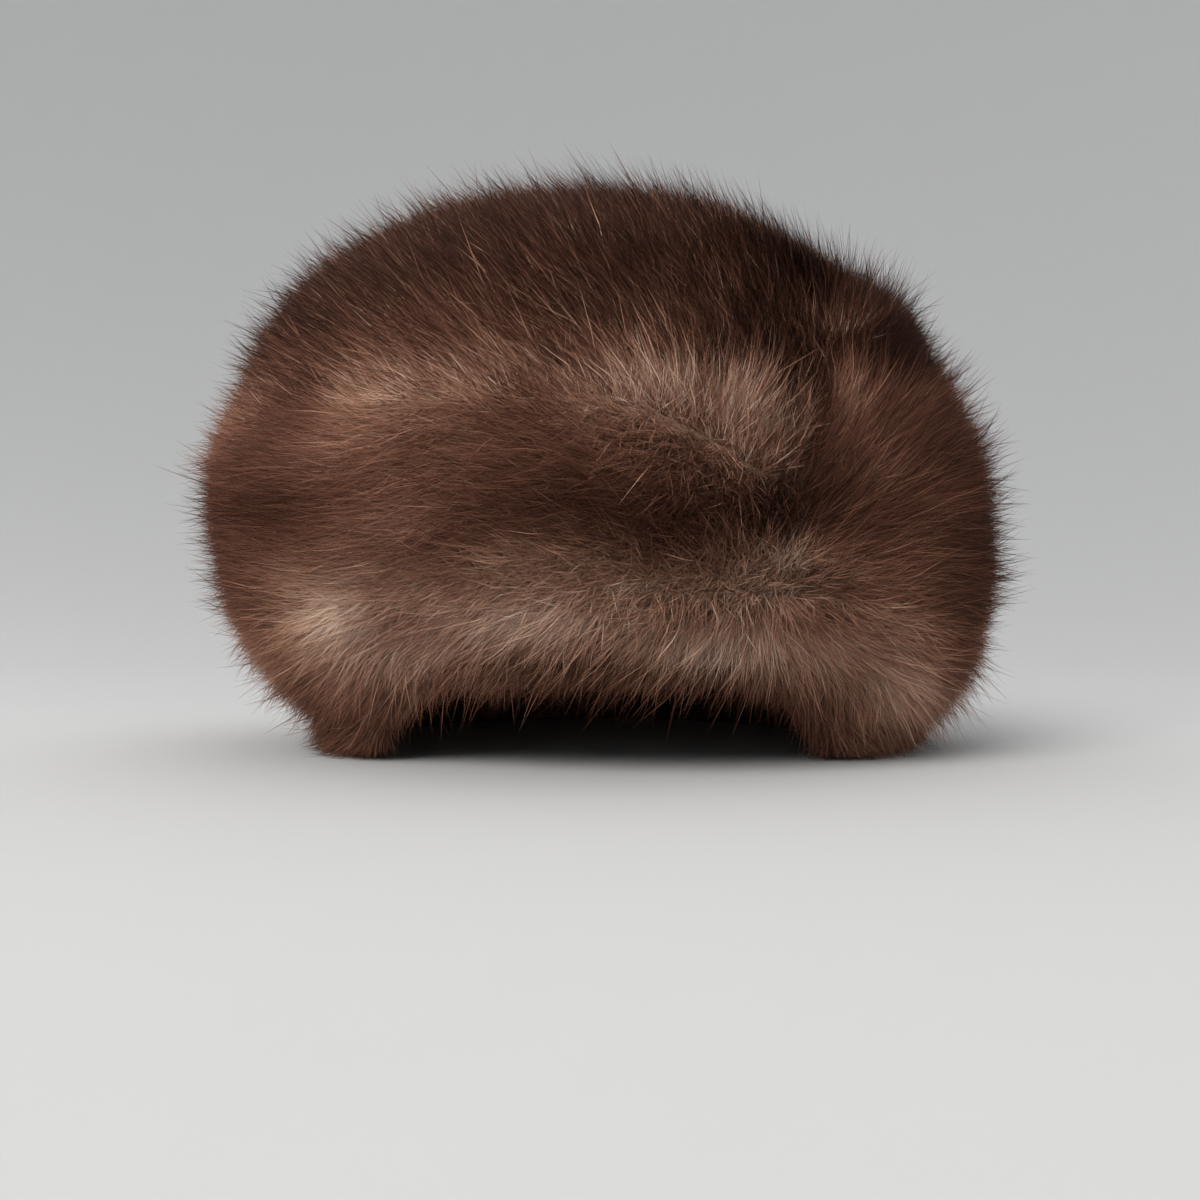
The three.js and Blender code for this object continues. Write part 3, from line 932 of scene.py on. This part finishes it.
class FurSizes(bpy.types.PropertyGroup):
    """Sizes of the hairs and of the wall that they grow on."""

    down_length: in_metres("Underfur", "Length of the soft short hairs", 0.0096)
    guard_length: in_metres("Guard hair", "Length of the glossy hairs", 0.0124)
    wisp_length: in_metres("Wisps", "Length of the hairs that stand out in tufts", 0.0192)
    stray_length: in_metres("Stray hair", "Length of the few loose pale hairs", 0.0165)
    down_width: in_metres("Underfur width", "Width of an underfur hair at its foot", 0.00034)
    guard_width: in_metres("Guard hair width", "Width of a guard hair at its foot", 0.00025)
    wisp_width: in_metres("Wisp width", "Width of a wisp at its widest", 0.00016)
    stray_width: in_metres("Stray hair width", "Width of a stray hair at its widest", 0.00009)
    down_lift: in_degrees("Underfur lift", "Slope of the underfur over the skin", 48)
    guard_lift: in_degrees("Guard hair lift", "Slope of the guard hairs over the skin", 40)
    wisp_lift: in_degrees("Wisp lift", "Slope of the wisps over the skin", 40)
    stray_lift: in_degrees("Stray hair lift", "Slope of the stray hairs over the skin", 33)
    mat_depth: in_metres("Mat depth", "Depth of the packed wool under the hair tips", 0.0068)
    lock_size: in_metres("Lock", "Width of a small lock of hair", 0.0030)
    crown_hairs: counted("Crown hairs", "Number of hairs on the crown", 452000)
    side_hairs: counted("Side hairs", "Number of hairs on each side pelt", 121000)
    rim_hairs: counted("Rim hairs", "Number of hairs on the rim", 138000)


def colour(name, description, default):
    return FloatVectorProperty(
        name=name, description=description, default=default, subtype="COLOR", min=0, max=1)


class FurColours(bpy.types.PropertyGroup):
    """Colours of the fur, from its darkest hairs to its palest, and of the skin."""

    darkest: colour("Darkest fur", "Colour of the darkest hairs", (0.0140, 0.0050, 0.0032))
    dark: colour("Dark fur", "Colour of the dark stripes", (0.062, 0.0243, 0.0154))
    brown: colour("Brown fur", "Colour of the body of the fur", (0.176, 0.0765, 0.0495))
    tan: colour("Tan fur", "Colour of the pale bands", (0.412, 0.234, 0.157))
    pale: colour("Pale fur", "Colour of the palest tufts", (0.710, 0.530, 0.414))
    wool: colour("Wool", "Greyish colour of the underfur near the skin", (0.290, 0.200, 0.145))
    skin: colour("Skin side", "Colour of the dressed leather inside", (0.360, 0.270, 0.200))
    floor: colour("Floor", "Colour of the floor", (0.470, 0.474, 0.478))


class Wire:
    """A socket in a material, so that shader maths reads as plain expressions."""

    def __init__(self, finish, socket):
        self.finish = finish
        self.socket = socket

    def maths(self, operation, first, second):
        return self.finish.node("Math", {"operation": operation}, {0: first, 1: second})

    def __add__(self, other):
        return self.maths("ADD", self, other)

    def __sub__(self, other):
        return self.maths("SUBTRACT", self, other)

    def __mul__(self, other):
        return self.maths("MULTIPLY", self, other)

    def __pow__(self, other):
        return self.maths("POWER", self, other)

    def __rsub__(self, other):
        return self.maths("SUBTRACT", other, self)

    __radd__ = __add__
    __rmul__ = __mul__


class Finish:
    """A procedural material while it is put together."""

    def __init__(self, name):
        self.material = bpy.data.materials.new(name)
        self.material.use_nodes = True
        self.tree = self.material.node_tree
        self.tree.nodes.clear()

    def node(self, kind, settings=None, inputs=None, output=0):
        """Adds a node: its settings first, then values or wires for its sockets."""
        node = self.tree.nodes.new("ShaderNode" + kind)
        for name, value in (settings or {}).items():
            if name == "stops":
                self.set_stops(node.color_ramp, value)
            else:
                setattr(node, name, value)
        for name, value in (inputs or {}).items():
            if isinstance(value, Wire):
                self.tree.links.new(value.socket, node.inputs[name])
            else:
                node.inputs[name].default_value = value
        return Wire(self, node.outputs[output])

    def set_stops(self, ramp, stops):
        while len(ramp.elements) < len(stops):
            ramp.elements.new(1.0)
        for element, (position, shade) in zip(ramp.elements, stops):
            element.position = position
            element.color = (*shade, 1.0)

    def attribute(self, name):
        return self.node("Attribute", {"attribute_name": name}, output="Fac")

    def mixed(self, share, first, second):
        """A colour part of the way from the first to the second."""
        inputs = {0: share, 6: first, 7: second}
        return self.node("Mix", {"data_type": "RGBA"}, inputs, output=2)

    def finished(self, inputs):
        shader = self.node("BsdfPrincipled", None, inputs)
        self.node_output(shader)
        return self.material

    def node_output(self, shader):
        output = self.tree.nodes.new("ShaderNodeOutputMaterial")
        self.tree.links.new(shader.socket, output.inputs["Surface"])


def opaque(shade):
    return (*shade, 1.0)


@functools.cache
def hair_finish():
    """Hairs: each has its own tone, woolly grey at the foot and darker at the tip."""
    colours = bpy.context.scene.fur_colours
    finish = Finish("mink_hair")
    tone = finish.attribute("tone")
    along = finish.attribute("along")
    stops = [
        (0.0, colours.darkest),
        (0.25, colours.dark),
        (0.50, colours.brown),
        (0.75, colours.tan),
        (1.0, colours.pale),
    ]
    body = finish.node("ValToRGB", {"stops": stops}, {0: tone})
    tip = finish.node("ValToRGB", {"stops": stops}, {0: tone - 0.08})
    shaded = finish.mixed(along ** 2.0, body, tip)
    foot = (1 - along) ** 1.5
    coloured = finish.mixed(foot * (0.02 + tone ** 2.0 * 0.24), shaded, opaque(colours.wool))
    return finish.finished({
        "Base Color": coloured,
        "Roughness": 0.46,
        "Specular IOR Level": 0.03,
        "Specular Tint": (1.0, 0.66, 0.50, 1.0),
    })


@functools.cache
def wool_finish():
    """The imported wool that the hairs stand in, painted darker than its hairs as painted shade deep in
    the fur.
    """
    colours = bpy.context.scene.fur_colours
    finish = Finish("packed_wool")
    tone = finish.attribute("tone")
    place = finish.node("TexCoord", output="Object")
    stretched = finish.node("Mapping", None, {0: place, "Scale": (1.0, 1.0, 1.6)})
    tufts = finish.node("TexNoise", None, {0: stretched, "Scale": 900.0, "Detail": 3.0})
    # Painted shade: the wool is coloured darker than hairs of its tone, for the shade deep down between
    # them
    stops = [(0.0, colours.darkest), (0.4, colours.dark), (1.0, colours.brown)]
    hidden = finish.node("ValToRGB", {"stops": stops}, {0: tone * 0.8 + (tufts - 0.5) * 0.5})
    bare = finish.attribute("bare") * tone
    base = finish.mixed(bare, hidden, opaque(colours.wool))
    bump = finish.node("Bump", None, {"Strength": 0.8, "Distance": 0.0008, "Height": tufts})
    return finish.finished({
        "Base Color": base,
        "Roughness": 0.95,
        "Specular IOR Level": 0.1,
        "Normal": bump,
    })


@functools.cache
def skin_finish():
    """Dressed leather with a fine suede grain, soft creases and faint stains."""
    colours = bpy.context.scene.fur_colours
    finish = Finish("dressed_skin")
    place = finish.node("TexCoord", output="Object")
    grain = finish.node("TexNoise", None, {0: place, "Scale": 1400.0, "Detail": 4.0})
    stain = finish.node("TexNoise", None, {0: place, "Scale": 38.0, "Detail": 3.0})
    crease = finish.node("TexVoronoi", {"feature": "DISTANCE_TO_EDGE"}, {0: place, "Scale": 160.0})
    tint = stain * 0.6 + grain * 0.4
    dark = tuple(channel * 0.62 for channel in colours.skin)
    light = tuple(min(channel * 1.25, 1.0) for channel in colours.skin)
    base = finish.mixed(tint, opaque(dark), opaque(light))
    height = grain * 0.5 + crease * 0.8
    bump = finish.node("Bump", None, {"Strength": 0.45, "Distance": 0.0006, "Height": height})
    rough = 0.95 - grain * 0.2
    return finish.finished({"Base Color": base, "Roughness": rough, "Normal": bump})


@functools.cache
def floor_finish():
    """A plain pale matt floor."""
    colours = bpy.context.scene.fur_colours
    finish = Finish("pale_floor")
    place = finish.node("TexCoord", output="Object")
    speck = finish.node("TexNoise", None, {0: place, "Scale": 60.0, "Detail": 2.0})
    dimmer = tuple(channel * 0.985 for channel in colours.floor)
    base = finish.mixed(speck, opaque(dimmer), opaque(colours.floor))
    return finish.finished({"Base Color": base, "Roughness": 1.0, "Specular IOR Level": 0.0})


def new_mesh(name, points, corners, sizes):
    """A mesh from its points, the corners of its faces in a row, and each face's size."""
    mesh = bpy.data.meshes.new(name)
    mesh.vertices.add(len(points))
    mesh.vertices.foreach_set("co", points.astype(np.float32).ravel())
    mesh.loops.add(len(corners))
    mesh.loops.foreach_set("vertex_index", corners.astype(np.int32))
    mesh.polygons.add(len(sizes))
    starts = np.concatenate([[0], np.cumsum(sizes)[:-1]])
    mesh.polygons.foreach_set("loop_start", starts.astype(np.int32))
    mesh.polygons.foreach_set("use_smooth", np.ones(len(sizes), bool))
    mesh.update(calc_edges=True)
    return mesh


def add_values(mesh, name, values):
    attribute = mesh.attributes.new(name, "FLOAT", "POINT")
    attribute.data.foreach_set("value", values.astype(np.float32).ravel())


def add_piece(name, mesh, nodes=()):
    piece = bpy.data.objects.new(name, mesh)
    bpy.context.scene.collection.objects.link(piece)
    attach(piece, "root")
    if nodes:
        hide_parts(*nodes)
    return piece


def hairs(roots, normals, flow, tone, size, rng):
    """Lays out hairs as thin blades, gathered into locks.

    Returns points, normals, tones and shares along the hair, each by hair and then by
    corner. A short hair is a single spike, and a bent one is widest at its knee.
    """
    count = len(roots)
    middles, cells = nearest_lock(roots, size["lock"], SALTS["lock"])
    lock = [cell_random(cells, SALTS["lock_traits"] + i)[:, None] * 2 - 1 for i in range(4)]
    swirl = soft_noise(roots, SWIRL_SIZE, SALTS["swirl"])[:, None]
    broad = soft_noise(roots, BROAD_SIZE, SALTS["broad"])[:, None]
    wave = soft_noise(roots, WAVE_SIZE, SALTS["wave"])[:, None]
    loose = rng.normal(size=(count, 5)).clip(-LOOSEST, LOOSEST)

    wander = size["turn_lock"] * lock[0] + SWIRL_TURN * swirl + BROAD_TURN * broad
    turn = np.radians(wander + size["turn_loose"] * loose[:, :1])
    rise = LOCK_LIFT * lock[1] + WAVE_LIFT * wave
    lift = size["lift"] + np.radians(rise + size["lift_loose"] * loose[:, 1:2])
    length = size["length"] * (1 + LOCK_LENGTH * lock[2] + size["uneven"] * loose[:, 2:3])
    across = np.cross(normals, flow)
    aim = flow * np.cos(turn) + across * np.sin(turn)

    foot = roots - normals * size["depth"]
    bend = np.radians(BLADE_BEND) if size["bent"] else 0.0
    first_way = aim * np.cos(lift + bend) + normals * np.sin(lift + bend)
    last_way = aim * np.cos(lift - bend) + normals * np.sin(lift - bend)
    knee = foot + BENT_KNEE * length * first_way
    tip = knee + (1 - BENT_KNEE) * length * last_way
    gather = flattened(middles - roots, normals) * size["gather"]
    knee = knee + gather * KNEE_GATHER
    tip = tip + gather
    for point in (foot, knee, tip):
        low = point[:, 2] < FLOOR_REACH
        point[low, 2] = FLOOR_LOWEST + FLOOR_SPAN * rng.random(low.sum())

    run = unit(tip - foot)
    side = unit(np.cross(run, normals))
    twist = np.radians(rng.uniform(-BLADE_TWIST, BLADE_TWIST, (count, 1)))
    side = side * np.cos(twist) + np.cross(run, side) * np.sin(twist)
    face = np.cross(side, run)
    face = np.where(dot(face, normals) < 0, -face, face)
    side = np.cross(run, face)
    half = size["width"] / 2 * (1 + BLADE_UNEVEN * loose[:, 3:4])

    shading = unit(face * SHADE_FACE + normals * SHADE_SKIN)
    left = unit(shading - side * SHADE_SIDE)
    right = unit(shading + side * SHADE_SIDE)
    # Some hairs are paler: the fur's own pale hairs and, on the crown, painted glints on its glossy guard
    # hairs
    pick = rng.random((count, 1))
    odd = size["pale_and_glint_lift"] * (pick < size["light"]) - DARK_HAIR * (pick > 1 - size["dark"])
    tone = tone[:, None]
    darker = np.clip(DARK_BELOW - tone, 0, DARK_BELOW)
    spread = size["spread"] * (TONE_SPREAD + DARK_SPREAD * darker)
    tone = tone + LOCK_TONE * size["spread"] * lock[3] + spread * loose[:, 4:5] + odd
    if size["bent"]:
        shape = BENT
        points = np.stack([foot, knee - side * half, tip, knee + side * half], 1)
        facing = np.stack([shading, left, shading, right], 1)
    else:
        shape = SPIKE
        points = np.stack([foot - side * half, foot + side * half, tip], 1)
        facing = np.stack([left, right, shading], 1)
    tones = np.broadcast_to(tone, points.shape[:2])
    alongs = np.broadcast_to(shape["along"] * size["tip"], points.shape[:2])
    return points, facing, tones, alongs


def hair_piece(name, batches):
    """Joins batches of hairs into one mesh piece."""
    points, facing, tones, alongs, corners, asides = [], [], [], [], [], []
    first = 0
    for batch in batches:
        count, per_hair = batch[0].shape[:2]
        shape = BENT if per_hair == len(BENT["aside"]) else SPIKE
        starts = first + per_hair * np.arange(count)
        corners.append((starts[:, None] + shape["faces"]).ravel())
        points.append(batch[0].reshape(-1, 3))
        facing.append(batch[1].reshape(-1, 3))
        tones.append(batch[2].ravel())
        alongs.append(batch[3].ravel())
        asides.append(np.tile(shape["aside"], count))
        first += per_hair * count
    corners = np.concatenate(corners)
    tones = np.concatenate(tones).clip(0, 1)
    alongs = np.concatenate(alongs)
    asides = np.concatenate(asides)
    mesh = new_mesh(name, np.concatenate(points), corners, np.full(len(corners) // 3, 3))
    add_values(mesh, "tone", tones)
    add_values(mesh, "along", alongs)
    mesh.normals_split_custom_set_from_vertices(np.concatenate(facing).astype(np.float32))
    chart = mesh.uv_layers.new(name="OFBake")
    inset = CHART_HALF + tones * (1 - 2 * CHART_HALF)
    spots = np.stack([inset + CHART_HALF * asides, alongs], 1)[corners]
    chart.data.foreach_set("uv", spots.astype(np.float32).ravel())
    mesh.materials.append(hair_finish())
    return add_piece(name, mesh)


def grow(pelt, kind, count, rng, part=None):
    """Hairs of one kind on one pelt, or on one part of the crown."""
    sizes = bpy.context.scene.fur_sizes
    if pelt == RIM:
        roots, normals, down, gap = rim_roots(count, rng)
    else:
        roots, normals, down, gap = body_roots(pelt, count, rng, part)
    near_seam = seam_nearness(gap)[:, None]
    manner = KINDS[kind]
    coat = COATS[pelt]
    flow = flow_at(roots, normals, pelt, sizes.guard_lift)
    tone = tone_at(roots, normals, pelt, down) + manner["tone"]
    longer = 1 - SEAM_SHORTER * near_seam + longer_at(roots, normals)
    size = {
        **manner,
        "lock": sizes.lock_size,
        "depth": wool_depth(pelt, gap)[:, None] + ROOT_DEEPER,
        "length": getattr(sizes, kind + "_length") * longer,
        "width": getattr(sizes, kind + "_width"),
        "lift": getattr(sizes, kind + "_lift") + math.radians(manner["fluff"]) * near_seam,
        "turn_loose": manner["turn_loose"] + manner["stray"] * near_seam,
        "spread": coat["spread"],
        "light": manner["light"] * coat["light"],
        "pale_and_glint_lift": PALE_AND_GLINT_HAIR * coat["pale_and_glint_lift"],
        "bent": kind in BENT_KINDS,
    }
    if pelt == RIM:
        tuck = tucked(down)[:, None]
        flat = pressed(roots)[:, None]
        size["length"] = size["length"] * (1 - TUCK_SHORTER * tuck)
        size["depth"] = size["depth"] * (1 - TUCK_SHALLOWER * tuck) * (1 - PRESS_SHALLOWER * flat)
        size["depth"] = size["depth"] + brow_depth(roots, down)[:, None]
        size["turn_loose"] = size["turn_loose"] + RIM_LOOSER * (1 - flat)
    return hairs(roots, normals, flow, tone, size, rng)


def fur_piece(name, pelt, count, seed, part=None):
    """All the hairs of one pelt, or of one part of the crown, as one piece."""
    rng = np.random.default_rng(seed)
    batches = []
    for kind, manner in KINDS.items():
        batches.append(grow(pelt, kind, int(count * manner["share"]), rng, part))
    return hair_piece(name, batches)


def sheet_faces(lines, columns):
    """Quads over a grid of points, facing the side where its lines run left of its columns."""
    i, j = np.meshgrid(np.arange(lines - 1), np.arange(columns - 1), indexing="ij")
    start = (i * columns + j).ravel()
    return np.stack([start, start + 1, start + columns + 1, start + columns], 1)


def wall_piece(name, pelt, turn, fall):
    """A pelt's wall: packed wool outside, dressed skin inside, closed at its edges."""
    hat = form()
    outer, normals = hat.outside(turn, fall)
    skin = hat.inside(turn, fall)
    gap = hat.seam_gap(turn, fall)
    wool = outer - normals * wool_depth(pelt, gap)[..., None]
    lines, columns = turn.shape
    count = lines * columns
    sheet = sheet_faces(lines, columns)
    border = np.concatenate([
        np.arange(columns - 1),
        np.arange(lines - 1) * columns + columns - 1,
        count - 1 - np.arange(columns - 1),
        (lines - 1 - np.arange(lines - 1)) * columns,
    ])
    following = np.roll(border, -1)
    edge = np.stack([border, border + count, following + count, following], 1)
    faces = np.concatenate([sheet, sheet[:, ::-1] + count, edge])
    points = np.concatenate([wool.reshape(-1, 3), skin.reshape(-1, 3)])
    mesh = new_mesh(name, points, faces.ravel(), np.full(len(faces), 4))
    _, down = hat.pelt_at(turn, fall)
    tone = tone_at(outer.reshape(-1, 3), normals.reshape(-1, 3), pelt, down.ravel().clip(0, 1))
    add_values(mesh, "tone", np.tile(tone, 2))
    add_values(mesh, "bare", np.tile(seam_nearness(gap.ravel()), 2))
    is_skin = np.zeros(len(faces), bool)
    is_skin[len(sheet):2 * len(sheet)] = True
    finish_wall(mesh, is_skin)
    return add_piece(name, mesh, [pelt])


def finish_wall(mesh, is_skin):
    """Gives a wall its wool and its skin, and joins points that lie on one another."""
    mesh.materials.append(wool_finish())
    mesh.materials.append(skin_finish())
    mesh.polygons.foreach_set("material_index", is_skin.astype(np.int32))
    work = bmesh.new()
    work.from_mesh(mesh)
    bmesh.ops.remove_doubles(work, verts=work.verts, dist=WELD_DISTANCE)
    bmesh.ops.recalc_face_normals(work, faces=work.faces)
    work.to_mesh(mesh)
    work.free()


def rim_wall():
    """The rim's roll: packed wool where fur grows, and skin on the hidden slope over it."""
    hat = form()
    share = np.linspace(0, 1, ROLL_STEPS)
    closing = 1 - smoothstep(share, *CLOSE_SHARES)
    depth = wool_depth(RIM, hat.roll_gap) * (1 - TUCK_SHALLOWER * tucked(share)) * closing
    depth = depth * (1 - PRESS_THINNER * pressed(hat.roll)) + brow_depth(hat.roll, share)
    wool = hat.roll - hat.roll_normals * depth[..., None]
    wool[..., 2] = np.maximum(wool[..., 2] - PRESS_SINK * pressed(hat.roll), LEAST_HEIGHT)
    points = np.concatenate([wool, hat.roll_top], 1)[::RIM_WALL_EVERY]
    lines, columns = points.shape[:2]
    i, j = np.meshgrid(np.arange(lines), np.arange(columns), indexing="ij")
    here, beyond = i * columns, (i + 1) % lines * columns
    after = (j + 1) % columns
    faces = np.stack([here + j, here + after, beyond + after, beyond + j], -1)
    sizes = np.full(lines * columns, 4)
    mesh = new_mesh("rim_skin", points.reshape(-1, 3), faces.ravel(), sizes)
    spots, normals = hat.roll.reshape(-1, 3), hat.roll_normals.reshape(-1, 3)
    tone = tone_at(spots, normals, RIM, np.tile(share, TURNS))
    tone = tone.reshape(TURNS, ROLL_STEPS)[::RIM_WALL_EVERY]
    tone = np.concatenate([tone, np.zeros((lines, columns - ROLL_STEPS))], 1)
    add_values(mesh, "tone", tone.ravel())
    bare = np.zeros((lines, columns))
    bare[:, :ROLL_STEPS] = seam_nearness(hat.roll_gap[::RIM_WALL_EVERY])
    add_values(mesh, "bare", bare.ravel())
    finish_wall(mesh, j.ravel() >= ROLL_STEPS - 1)
    return add_piece("rim_skin", mesh, [RIM])


def grid_over(end, size):
    """A grid's values from 0 to end down its lines, and from 0 to 1 over its columns."""
    lines, columns = size
    return np.meshgrid(np.linspace(0, end, lines), np.linspace(0, 1, columns), indexing="ij")


class BERET_OT_pelt_skins(bpy.types.Operator):
    """Makes the walls of the pelts, of packed wool over dressed skin"""

    bl_idname = "beret.pelt_skins"
    bl_label = "Pelt Skins"

    def execute(self, context):
        hat = form()
        turn, share = grid_over(math.tau, CROWN_GRID)
        fall = share * (hat.seam_fall(hat.high_seam, turn) - CROWN_GAP_ANGLE)
        wall_piece("crown_skin", CROWN, turn, fall)

        front = np.polyval(hat.front_join, math.pi / 2)
        back = np.polyval(hat.back_join, math.pi / 2)
        left = ("side_left_skin", LEFT, back - math.tau, front)
        right = ("side_right_skin", RIGHT, front, back)
        for name, pelt, start, end in (left, right):
            part, share = grid_over(1, SIDE_GRID)
            turn = start + SIDE_GAP_ANGLE + part * (end - start - 2 * SIDE_GAP_ANGLE)
            high = hat.seam_fall(hat.high_seam, turn)
            low = hat.seam_fall(hat.low_seam, turn)
            wall_piece(name, pelt, turn, high + share * (low - high))
        rim_wall()
        return {"FINISHED"}


class BERET_OT_crown_fur(bpy.types.Operator):
    """Grows the crown's underfur and guard hair"""

    bl_idname = "beret.crown_fur"
    bl_label = "Crown Fur"

    def execute(self, context):
        for seed, part in enumerate(CROWN_PARTS, SEEDS["crown"]):
            count = int(context.scene.fur_sizes.crown_hairs * part["share"])
            fur_piece(part["name"], CROWN, count, seed, part)
        return {"FINISHED"}


class BERET_OT_side_fur(bpy.types.Operator):
    """Grows the fur of the two side pelts"""

    bl_idname = "beret.side_fur"
    bl_label = "Side Fur"

    def execute(self, context):
        count = context.scene.fur_sizes.side_hairs
        fur_piece("side_left_fur", LEFT, count, SEEDS["left"])
        fur_piece("side_right_fur", RIGHT, count, SEEDS["right"])
        return {"FINISHED"}


class BERET_OT_rim_fur(bpy.types.Operator):
    """Grows the fur of the turned-under rim"""

    bl_idname = "beret.rim_fur"
    bl_label = "Rim Fur"

    def execute(self, context):
        count = context.scene.fur_sizes.rim_hairs
        fur_piece("rim_fur", RIM, count, SEEDS["rim"])
        return {"FINISHED"}


def add_lamp(lamp):
    """Adds a round soft lamp that faces the hat."""
    light = bpy.data.lights.new(lamp.name, "AREA")
    light.shape = "DISK"
    light.size = lamp.size
    light.energy = lamp.power
    light.color = lamp.colour
    holder = bpy.data.objects.new(lamp.name, light)
    holder.location = lamp.place
    aim = Vector(LAMP_AIM) - Vector(lamp.place)
    holder.rotation_euler = aim.to_track_quat("-Z", "Y").to_euler()
    bpy.context.scene.collection.objects.link(holder)


class BERET_OT_stage(bpy.types.Operator):
    """Sets the pale floor, the soft studio light and the camera"""

    bl_idname = "beret.stage"
    bl_label = "Floor, Light and Camera"

    def execute(self, context):
        self.add_floor()
        for lamp in LAMPS:
            add_lamp(lamp)
        world = bpy.data.worlds.new("studio_air")
        world.use_nodes = True
        air = world.node_tree.nodes["Background"].inputs
        air["Color"].default_value = AIR_COLOUR
        air["Strength"].default_value = AIR_STRENGTH
        context.scene.world = world
        context.scene.view_settings.view_transform = "Standard"
        self.add_camera(context)
        return {"FINISHED"}

    def add_floor(self):
        """A round floor that sweeps up into its own backdrop all round."""
        rings = [(reach, 0.0) for reach in np.linspace(0.02, FLOOR_FLAT, 12)]
        for angle in np.linspace(0.1, math.pi / 2, 14):
            reach = FLOOR_FLAT + FLOOR_BEND * math.sin(angle)
            rings.append((reach, FLOOR_BEND * (1 - math.cos(angle))))
        rings.append((FLOOR_FLAT + FLOOR_BEND, FLOOR_TOP))
        turn = np.linspace(0, math.tau, FLOOR_AROUND, endpoint=False)
        points = [np.array([[0.0, 0.0, 0.0]])]
        points += [np.stack([r * np.sin(turn), -r * np.cos(turn), 0 * turn + z], -1) for r, z in rings]
        faces = []
        for i in range(FLOOR_AROUND):
            j = (i + 1) % FLOOR_AROUND
            faces.append((0, 1 + i, 1 + j))
            for k in range(len(rings) - 1):
                near = 1 + k * FLOOR_AROUND
                far = near + FLOOR_AROUND
                faces.append((near + i, far + i, far + j, near + j))
        mesh = bpy.data.meshes.new("floor")
        mesh.from_pydata(np.concatenate(points).tolist(), [], faces)
        mesh.shade_smooth()
        mesh.materials.append(floor_finish())
        floor = bpy.data.objects.new("floor", mesh)
        bpy.context.scene.collection.objects.link(floor)

    def add_camera(self, context):
        camera = bpy.data.cameras.new("camera")
        camera.sensor_width = 36.0
        camera.lens = camera.sensor_width * FOCAL_PIXELS / FRAME_SIZE
        camera.clip_start = 0.01
        holder = bpy.data.objects.new("camera", camera)
        holder.location = CAMERA_PLACE
        holder.rotation_euler = (math.pi / 2 + CAMERA_PITCH, 0, 0)
        context.scene.collection.objects.link(holder)
        context.scene.camera = holder


STEPS = (
    BERET_OT_pelt_skins,
    BERET_OT_crown_fur,
    BERET_OT_side_fur,
    BERET_OT_rim_fur,
    BERET_OT_stage,
)


class BERET_PT_tools(bpy.types.Panel):
    """Lists the beret's sizes, colours and steps"""

    bl_idname = "BERET_PT_tools"
    bl_label = "Fur Beret"
    bl_space_type = "VIEW_3D"
    bl_region_type = "UI"
    bl_category = "Fur Beret"

    def draw(self, context):
        for group in (context.scene.fur_sizes, context.scene.fur_colours):
            box = self.layout.box()
            for name in group.__annotations__:
                box.prop(group, name)
        for step in STEPS:
            self.layout.operator(step.bl_idname)


CLASSES = (FurSizes, FurColours, *STEPS, BERET_PT_tools)


def register():
    for item in CLASSES:
        bpy.utils.register_class(item)
    bpy.types.Scene.fur_sizes = PointerProperty(type=FurSizes)
    bpy.types.Scene.fur_colours = PointerProperty(type=FurColours)


def unregister():
    del bpy.types.Scene.fur_colours
    del bpy.types.Scene.fur_sizes
    for item in reversed(CLASSES):
        bpy.utils.unregister_class(item)


def main():
    register()
    for step in STEPS:
        group, name = step.bl_idname.split(".")
        getattr(getattr(bpy.ops, group), name)()


if __name__ == "__main__":
    main()
